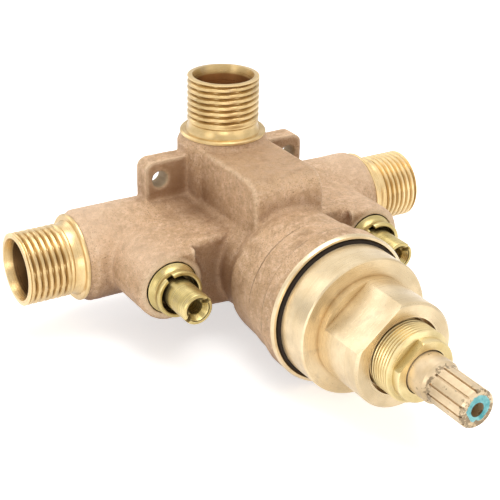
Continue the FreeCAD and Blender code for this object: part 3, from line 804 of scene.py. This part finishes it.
def maths(tree, operation, first, second=0.0, third=0.0):
    """Result of a maths node; not every operation uses the second and third values."""
    return node(tree, "ShaderNodeMath", {0: first, 1: second, 2: third}, operation=operation).outputs[0]


def chained(tree, operation, values):
    """Result of one operation over several values in turn."""
    result = values[0]
    for value in values[1:]:
        result = maths(tree, operation, result, value)
    return result


def product(tree, *values):
    """Product of several values."""
    return chained(tree, "MULTIPLY", values)


def distance(tree, first, second):
    """Length of a way given by its two parts at right angles."""
    squares = [maths(tree, "MULTIPLY", value, value) for value in (first, second)]
    return maths(tree, "SQRT", maths(tree, "ADD", *squares))


def parted(tree, vector):
    """The X, Y and Z of a vector."""
    return node(tree, "ShaderNodeSeparateXYZ", {0: vector}).outputs


def mixed(tree, share, first, second):
    """Colour mix of two colours or colour sockets."""
    added = node(tree, "ShaderNodeMix", {0: share}, data_type="RGBA")
    for index, value in ((6, first), (7, second)):
        if isinstance(value, bpy.types.NodeSocket):
            tree.links.new(value, added.inputs[index])
        else:
            added.inputs[index].default_value = (*value, 1.0)
    return added.outputs[2]


def ramp(tree, value, low, high):
    """Value spread from low..high to 0..1."""
    return node(tree, "ShaderNodeMapRange", {0: value, 1: low, 2: high}).outputs[0]


def length_ramp(tree, value, low, high):
    """Length spread from low..high millimetres to 0..1."""
    return ramp(tree, value, low * MM, high * MM)


def blended(tree, colour, share, most, other):
    """Colour mixed towards another; most is how far it goes where the share is 1."""
    return mixed(tree, maths(tree, "MULTIPLY", share, most), colour, other)


def tinted(tree, colour, value, low, high, most, other):
    """Colour mixed towards another where a value runs from low to high."""
    return blended(tree, colour, ramp(tree, value, low, high), most, other)


def grain(tree, where, scale, detail, roughness):
    """Noise value; scale is turns per metre."""
    added = node(tree, "ShaderNodeTexNoise",
                 {"Vector": where, "Scale": scale, "Detail": detail, "Roughness": roughness})
    return added.outputs["Fac"]


def hollow_share(tree, reach):
    """How open the surface is to its surroundings within a reach, 1 where nothing is near."""
    return node(tree, "ShaderNodeAmbientOcclusion", {"Distance": reach * MM}, samples=HOLLOW_RAYS).outputs["AO"]


def edge_share(tree, reach):
    """How thick the metal is behind the surface within a reach, 1 inside a broad face and less at its edges."""
    return node(tree, "ShaderNodeAmbientOcclusion", {"Distance": reach * MM}, samples=EDGE_RAYS, inside=True,
                only_local=True).outputs["AO"]


def material(name, metallic, roughness):
    """New material with its shader, tree and object coordinates."""
    made = bpy.data.materials.new(name)
    made.use_nodes = True
    tree = made.node_tree
    shader = tree.nodes["Principled BSDF"]
    shader.inputs["Metallic"].default_value = metallic
    shader.inputs["Roughness"].default_value = roughness
    where = node(tree, "ShaderNodeTexCoord").outputs["Object"]
    return made, tree, shader, where


def use_colour(tree, shader, colour):
    """Gives a shader its colour, in place of an earlier one."""
    tree.links.new(colour, shader.inputs["Base Color"])


def used_colour(shader):
    """Colour that a shader has so far."""
    return shader.inputs["Base Color"].links[0].from_socket


def use_bump(tree, shader, height, strength, depth):
    """Gives a shader a bump."""
    bump = node(tree, "ShaderNodeBump", {"Height": height, "Strength": strength, "Distance": depth * MM})
    tree.links.new(bump.outputs[0], shader.inputs["Normal"])


def use_roughness(tree, shader, value, smoothest, roughest):
    """Gives a shader a roughness that follows a noise value."""
    low, high = GRAIN_SPREAD
    rough = node(tree, "ShaderNodeMapRange", {0: value, 1: low, 2: high, 3: smoothest, 4: roughest})
    tree.links.new(rough.outputs[0], shader.inputs["Roughness"])


def worn_and_highlit_edges(tree, parts, from_middle):
    """Where the casting's edges are made paler, partly wear and partly painted highlight, away from its machined ends.
    """
    edges = ramp(tree, edge_share(tree, WEAR_AND_HIGHLIGHT_REACH), *WEAR_AND_HIGHLIGHT_SPREAD)
    behind_bands = maths(tree, "GREATER_THAN", parts["Y"], -(BAND_BACK - WEAR_AND_HIGHLIGHT_SETBACK) * MM)
    beside_ports = maths(tree, "LESS_THAN", from_middle, (PORT_REACH - MACHINED_LENGTH - WEAR_AND_HIGHLIGHT_SETBACK) * MM)
    outlet_end = (OUTLET_REACH - MACHINED_LENGTH - WEAR_AND_HIGHLIGHT_OUTLET_SETBACK) * MM
    below = maths(tree, "LESS_THAN", parts["Z"], outlet_end)
    beyond = maths(tree, "GREATER_THAN", distance(tree, parts["X"], parts["Y"]), WEAR_AND_HIGHLIGHT_OUTLET_RADIUS * MM)
    return product(tree, edges, behind_bands, beside_ports, maths(tree, "MAXIMUM", below, beyond))


def cast_bronze():
    """Sand-cast bronze: granular tan with pale edges that are partly wear and partly painted highlight, painted shade
    in its hollows, creases, the rim step's groove, on the block's roof and the lugs, and painted light in its fillets
    and on the arms' tops.
    """
    made, tree, shader, where = material("cast_bronze", CAST_METALLIC, CAST_ROUGHNESS)
    shader.inputs["Specular IOR Level"].default_value = CAST_SPECULAR
    noises = {name: grain(tree, where, *values) for name, values in CAST_NOISE.items()}
    colour = mixed(tree, ramp(tree, noises["broad"], *CAST_SPREAD), CAST_DEEP, CAST_PALE)
    for name, tint in CAST_TINTS:
        colour = tinted(tree, colour, noises[name], *tint)
    # Painted shade in wide hollows, then painted highlight in the fillets
    for reach, tint in ((WIDE_HOLLOW_REACH, WIDE_HOLLOW_PAINTED_SHADE), (FILLET_REACH, FILLET_PAINTED_HIGHLIGHT)):
        colour = tinted(tree, colour, hollow_share(tree, reach), *tint)
    parts = parted(tree, where)
    from_middle = maths(tree, "ABSOLUTE", parts["X"])
    facing = parted(tree, node(tree, "ShaderNodeNewGeometry").outputs["Normal"])
    # Painted shade on the block's upward faces
    block = product(tree, length_ramp(tree, from_middle, *BLOCK_SIDES), length_ramp(tree, parts["Y"], *BLOCK_FRONT),
                    ramp(tree, facing["Z"], *BLOCK_UPWARD), ramp(tree, noises["patches"], *BLOCK_PATCHES))
    colour = blended(tree, colour, block, BLOCK_SHARE, BLOCK_ROOF_PAINTED_SHADE)
    # Painted shade on the lugs' forward faces
    lugs = product(tree, ramp(tree, facing["Y"], *LUG_FORWARD), length_ramp(tree, parts["Y"], *LUG_DEPTH))
    colour = blended(tree, colour, lugs, LUG_SHARE, LUG_FRONT_PAINTED_SHADE)
    # Painted light on the arms' upward faces
    arms = product(tree, length_ramp(tree, from_middle, *ARM_SIDES), ramp(tree, facing["Z"], *ARM_UPWARD))
    colour = blended(tree, colour, arms, ARM_SHARE, ARM_TOP_PAINTED_LIGHT)
    # Pale edges: partly wear, partly painted highlight
    colour = blended(tree, colour, worn_and_highlit_edges(tree, parts, from_middle), WEAR_AND_HIGHLIGHT_SHARE, WEAR_AND_HIGHLIGHT_COLOUR)
    # Painted shade in narrow creases
    colour = tinted(tree, colour, hollow_share(tree, CREASE_REACH), *CREASE_PAINTED_SHADE)
    # Painted shade along the groove at the rim step
    from_step = maths(tree, "ABSOLUTE", maths(tree, "ADD", parts["Y"], (RIM_BACK + STEP_SHADE_SETBACK) * MM))
    step_shade = product(tree, length_ramp(tree, from_step, *STEP_SHADE_WIDTH), ramp(tree, noises["patches"], *STEP_SHADE_PATCHES))
    colour = blended(tree, colour, step_shade, STEP_SHADE_SHARE, STEP_PAINTED_SHADE)
    from_hole = distance(tree, maths(tree, "SUBTRACT", from_middle, LUG_HOLE_OFFSET * MM),
                         maths(tree, "SUBTRACT", parts["Z"], LUG_HOLE_HEIGHT * MM))
    drilled = maths(tree, "LESS_THAN", from_hole, LUG_HOLE_RIM * MM)
    colour = mixed(tree, drilled, colour, mixed(tree, noises["fine"], DRILLED_DEEP, DRILLED_PALE))
    use_colour(tree, shader, colour)
    use_roughness(tree, shader, noises["fine"], *CAST_ROUGH_RANGE)
    heights = [maths(tree, "MULTIPLY", noises[name], share) for name, share in CAST_BUMP.items()]
    use_bump(tree, shader, chained(tree, "ADD", heights), CAST_BUMP_STRENGTH, CAST_BUMP_DEPTH)
    return made


def turned(name, pale, deep, axis, centre=(0, 0, 0), metallic=BRASS_METALLIC, roughness=BRASS_ROUGHNESS, lines=1.0,
           reach=BRASS_HOLLOW_REACH, root=DIRT_AND_SHADE, bore=None, bore_painted_shade=BORE_PAINTED_SHADE):
    """Turned brass with lathe lines round an axis ("X", "Y" or "Z") through a centre.

    root is the colour of its painted shade in grooves and gaps; its edges are paler, partly wear and partly painted
    highlight; a bore of the given radius gets painted shade inside.
    """
    made, tree, shader, where = material(name, metallic, roughness)
    moved = node(tree, "ShaderNodeVectorMath", {0: where, 1: Vector(centre) * MM}, operation="SUBTRACT").outputs[0]
    parts = parted(tree, moved)
    radius = distance(tree, *(parts[other] for other in "XYZ" if other != axis))
    rings = node(tree, "ShaderNodeCombineXYZ", {0: radius, 1: parts[axis]}).outputs[0]
    cuts = grain(tree, rings, *LATHE_CUTS)
    bands = maths(tree, "MULTIPLY", grain(tree, rings, *LATHE_BANDS), BAND_SHARE)
    cloud = grain(tree, where, *BRASS_CLOUDS)
    share = maths(tree, "ADD", bands, maths(tree, "MULTIPLY", cloud, 1 - BAND_SHARE))
    colour = mixed(tree, ramp(tree, share, *BRASS_SPREAD), deep, pale)
    tarnished = [TARNISH_DEPTH * value for value in deep]
    colour = tinted(tree, colour, grain(tree, where, *TARNISH_NOISE), *TARNISH, tarnished)
    colour = tinted(tree, colour, grain(tree, where, *STAIN_NOISE), *STAIN)
    colour = tinted(tree, colour, grain(tree, where, *SPECK_NOISE), *SPECKS)
    # Painted shade in hollows and gaps
    colour = tinted(tree, colour, hollow_share(tree, reach), *BRASS_HOLLOW_SHADE, root)
    # Paler edges: partly wear, partly painted highlight
    rubbed_and_highlit = [min(EDGE_GAIN * value, EDGE_LIMIT) for value in pale]
    colour = tinted(tree, colour, edge_share(tree, BRASS_EDGE_REACH), *BRASS_EDGE_WEAR_AND_HIGHLIGHT, rubbed_and_highlit)
    # Painted shade inside the bore
    if bore:
        inside = length_ramp(tree, radius, bore + BORE_FADE_START, bore + BORE_FADE_END)
        colour = mixed(tree, inside, colour, mixed(tree, cloud, *bore_painted_shade))
    use_colour(tree, shader, colour)
    use_roughness(tree, shader, cuts, roughness - BRASS_SMOOTHER, roughness + BRASS_ROUGHER)
    use_bump(tree, shader, cuts, LATHE_BUMP * lines, LATHE_BUMP_DEPTH)
    return made, tree, shader, where


def nut_finish():
    """Brass of the packing nut, with painted shade on its milled flats."""
    made, tree, shader, where = turned("nut_brass", NUT_PALE, NUT_DEEP, "Y", root=GAP_SHADE_BROWN)
    flat = math.radians(NUT_FLAT_ANGLE)
    outward = node(tree, "ShaderNodeVectorMath", {0: where, 1: (math.cos(flat), 0, math.sin(flat))},
                   operation="DOT_PRODUCT").outputs["Value"]
    milled = length_ramp(tree, maths(tree, "ABSOLUTE", outward), NUT_APOTHEM - MILLED_START,
                         NUT_APOTHEM - MILLED_FULL)
    ahead = maths(tree, "LESS_THAN", parted(tree, where)["Y"], -(NUT_FLAT_BACK + MILLED_SETBACK) * MM)
    share = maths(tree, "MULTIPLY", milled, ahead)
    # Painted shade on the milled flats
    use_colour(tree, shader, blended(tree, used_colour(shader), share, FLAT_SHADE_SHARE, NUT_FLAT_PAINTED_SHADE))
    return made


def spindle_finish():
    """Spindle bronze with nicked edges, light painted shade in its grooves, painted shade in the handle-screw hole and
    a worn turquoise mark painted round that hole.
    """
    made, tree, shader, where = turned("spindle_bronze", SPINDLE_PALE, SPINDLE_DEEP, "Y", metallic=SPINDLE_METALLIC,
                                       roughness=SPINDLE_ROUGHNESS, lines=SPINDLE_LINES, reach=SPINDLE_HOLLOW_REACH,
                                       root=SPINDLE_GROOVE_SHADE)
    parts = parted(tree, where)
    from_dab = distance(tree, maths(tree, "SUBTRACT", parts["X"], PAINT_ASIDE * MM),
                        maths(tree, "SUBTRACT", parts["Z"], PAINT_ABOVE * MM))
    wear = maths(tree, "SUBTRACT", grain(tree, where, *PAINT_WEAR_NOISE), PAINT_WEAR_MIDDLE)
    wear = maths(tree, "MULTIPLY", wear, PAINT_WEAR * MM)
    dab = maths(tree, "LESS_THAN", maths(tree, "ADD", from_dab, wear), PAINT_RADIUS * MM)
    face = maths(tree, "LESS_THAN", parts["Y"], -(SPINDLE_FRONT - PAINT_DEPTH) * MM)
    paint = maths(tree, "MULTIPLY", dab, face)
    teal = mixed(tree, ramp(tree, grain(tree, where, *PAINT_NOISE), *PAINT_SPREAD), PAINT_DEEP, PAINT_PALE)
    from_start = maths(tree, "ABSOLUTE", maths(tree, "ADD", parts["Y"], SPLINE_START * MM))
    near_start = length_ramp(tree, from_start, *NICKS_AT_START)
    near_tip = length_ramp(tree, parts["Y"], *(back - SPINDLE_FRONT for back in NICKS_AT_TIP))
    bruised = maths(tree, "MULTIPLY", maths(tree, "MAXIMUM", near_start, near_tip), NICK_GAIN)
    nicks = maths(tree, "ADD", grain(tree, where, *NICK_NOISE), bruised)
    bronze_colour = tinted(tree, used_colour(shader), nicks, *NICKS)
    # Painted shade inside the handle-screw hole
    hole = maths(tree, "LESS_THAN", distance(tree, parts["X"], parts["Z"]), SCREW_HOLE_RADIUS * MM)
    hole_shade_colour = mixed(tree, ramp(tree, grain(tree, where, *HOLE_NOISE), *HOLE_SPREAD), HOLE_SHADE_DEEP, HOLE_SHADE_PALE)
    use_colour(tree, shader, mixed(tree, hole, mixed(tree, paint, bronze_colour, teal), hole_shade_colour))
    tree.links.new(maths(tree, "MULTIPLY_ADD", paint, PAINT_DULLS, SPINDLE_METALLIC), shader.inputs["Metallic"])
    return made


def rubber():
    """Black rubber with a faint mould bloom."""
    made, tree, shader, where = material("black_rubber", 0.0, RUBBER_ROUGHNESS)
    shader.inputs["Specular IOR Level"].default_value = RUBBER_SPECULAR
    use_colour(tree, shader, mixed(tree, grain(tree, where, *RUBBER_NOISE), RUBBER_DEEP, RUBBER_PALE))
    use_bump(tree, shader, grain(tree, where, *RUBBER_BUMP_NOISE), RUBBER_BUMP, FINE_BUMP_DEPTH)
    return made


def plain_finish(name, dark, light, metallic, roughness, noise_values):
    """Finish of an inner piece: mottled colour and a fine bump."""
    made, tree, shader, where = material(name, metallic, roughness)
    spots = grain(tree, where, *noise_values)
    use_colour(tree, shader, mixed(tree, spots, dark, light))
    use_bump(tree, shader, spots, INNER_BUMP, FINE_BUMP_DEPTH)
    return made


def soft_lamp(name, position, size, watts):
    """Square soft box that faces the valve."""
    lamp = bpy.data.lights.new(name, "AREA")
    lamp.size = size * MM
    lamp.energy = watts
    holder = linked(name, lamp)
    holder.location = Vector(position) * MM
    holder.rotation_euler = (Vector(LAMP_TARGET) - Vector(position)).to_track_quat("-Z", "Y").to_euler()


def seen_directly(tree):
    """1 for rays that show the background: from the camera, mirrored or passed through."""
    path = node(tree, "ShaderNodeLightPath").outputs
    kinds = ("Is Camera Ray", "Is Glossy Ray", "Is Transmission Ray")
    return chained(tree, "MAXIMUM", [path[kind] for kind in kinds])


def studio():
    """Pale floor, white surround and soft lamps."""
    half, height = FLOOR_HALF * MM, cad_box[0][2]
    floor_mesh = bpy.data.meshes.new("floor")
    floor_mesh.from_pydata([(-half, -half, height), (half, -half, height), (half, half, height),
                            (-half, half, height)], [], [(0, 1, 2, 3)])
    floor = linked("floor", floor_mesh)
    made, tree, shader, _ = material("floor", 0.0, FLOOR_ROUGHNESS)
    shader.inputs["Base Color"].default_value = FLOOR_COLOUR
    shader.inputs["Specular IOR Level"].default_value = 0.0
    shader.inputs["Emission Color"].default_value = WHITE
    tree.links.new(maths(tree, "MULTIPLY", seen_directly(tree), FLOOR_GLOW), shader.inputs["Emission Strength"])
    floor_mesh.materials.append(made)
    world = bpy.data.worlds.new("studio")
    world.use_nodes = True
    bpy.context.scene.world = world
    tree = world.node_tree
    background = tree.nodes["Background"]
    background.inputs["Color"].default_value = WHITE
    strength = maths(tree, "MULTIPLY_ADD", seen_directly(tree), SURROUND_SEEN, SURROUND_LIGHT)
    tree.links.new(strength, background.inputs["Strength"])
    for name, (position, size, watts) in LAMPS.items():
        soft_lamp(name, position, size, watts)


def photo_camera():
    """Camera at the photograph's place, turned by its small roll."""
    azimuth, elevation, roll = (math.radians(angle) for angle in (VIEW_AZIMUTH, VIEW_ELEVATION, VIEW_ROLL))
    back = Vector((math.sin(azimuth) * math.cos(elevation), -math.cos(azimuth) * math.cos(elevation),
                   math.sin(elevation)))
    vertical = Vector((0, 0, 1))
    right = vertical.cross(back).normalized()
    up = back.cross(right)
    place = back * VIEW_DISTANCE
    ahead = (right * AIM_RIGHT + up * AIM_UP - place).normalized()
    level = ahead.cross(vertical).normalized()
    top = level.cross(ahead)
    side = level * math.cos(roll) + top * math.sin(roll)
    top = top * math.cos(roll) - level * math.sin(roll)
    data = bpy.data.cameras.new("photo_camera")
    data.sensor_width = SENSOR
    data.lens = FOCAL_PIXELS / IMAGE_SIZE * SENSOR
    data.clip_start = CLIP_START * MM
    camera = linked("photo_camera", data)
    turn = Matrix((side, top, -ahead)).transposed().to_4x4()
    camera.matrix_world = Matrix.Translation(place * MM) @ turn
    bpy.context.scene.camera = camera


# Materials, which the solids get by their slots in the record
bronze = cast_bronze()
brass = turned("turned_brass", BONNET_PALE, BONNET_DEEP, "Y", lines=BONNET_LINES, root=GAP_SHADE_BROWN)[0]
nut_brass = nut_finish()
hot_port_brass = turned("hot_port_brass", HOT_PALE, HOT_DEEP, "X", root=BRASS_ROOT_SHADE, bore=PORT_BORE)[0]
cold_port_brass = turned("cold_port_brass", COLD_PALE, COLD_DEEP, "X", root=BRASS_ROOT_SHADE, bore=PORT_BORE)[0]
outlet_brass = turned("outlet_brass", OUTLET_PALE, OUTLET_DEEP, "Z", root=BRASS_ROOT_SHADE, bore=PORT_BORE,
                      bore_painted_shade=OUTLET_BORE_PAINTED_SHADE)[0]
hot_brass, cold_brass = (turned(name, STOP_PALE, STOP_DEEP, "Y", (side * STOP_OFFSET, 0, 0), STOP_METALLIC,
                                STOP_ROUGHNESS, STOP_LINES)[0]
                         for name, side in (("hot_stop_brass", -1), ("cold_stop_brass", 1)))
spindle_bronze = spindle_finish()
black_rubber = rubber()
packing = plain_finish("packing", *PACKING_LOOK)
steel = plain_finish("inner_steel", *STEEL_LOOK)

finishes = {"turned_brass": brass, "spindle_bronze": spindle_bronze, "black_rubber": black_rubber,
            "packing": packing, "inner_steel": steel, "cast_bronze": bronze}
for part in frame["record"]["subparts"]:
    name, slot = part["node"], part["material_slot"]
    if slot == "stop_brass":
        finish = hot_brass if name.startswith("hot") else cold_brass
    else:
        finish = finishes[slot]
    shown = frame["nodes"][name]
    shown.data.materials.clear()
    shown.data.materials.append(finish)

# Pieces with the forms that the solids leave out
casting = add_piece("casting", casting_mesh(), "valve", bronze)
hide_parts("valve_body")
for name, reach, place, finish in (("hot_port_end", PORT_REACH, to_hot, hot_port_brass),
                                   ("cold_port_end", PORT_REACH, to_cold, cold_port_brass),
                                   ("outlet_end", OUTLET_REACH, to_outlet, outlet_brass)):
    add_piece(name, port_end(name, reach, place), "valve", finish)
add_piece("barrel_front", barrel_front(), "valve", bronze)
add_piece("barrel_rim", barrel_rim(), "valve", brass)
nut = add_piece("packing_nut_turned", packing_nut(), "valve", nut_brass)
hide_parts("packing_nut")
for water, side, finish in (("hot", -1, hot_brass), ("cold", 1, cold_brass)):
    bush_name, stem_name = water + "_stop_bush", water + "_stop_stem"
    bush = add_piece(bush_name + "_turned", stop_bush(bush_name + "_turned", side), "valve", finish)
    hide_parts(bush_name)
    stem = add_piece(stem_name + "_turned", stop_stem(stem_name + "_turned", side), stem_name, finish)
    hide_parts(stem_name)

studio()
photo_camera()
bpy.context.scene.view_settings.view_transform = "Standard"
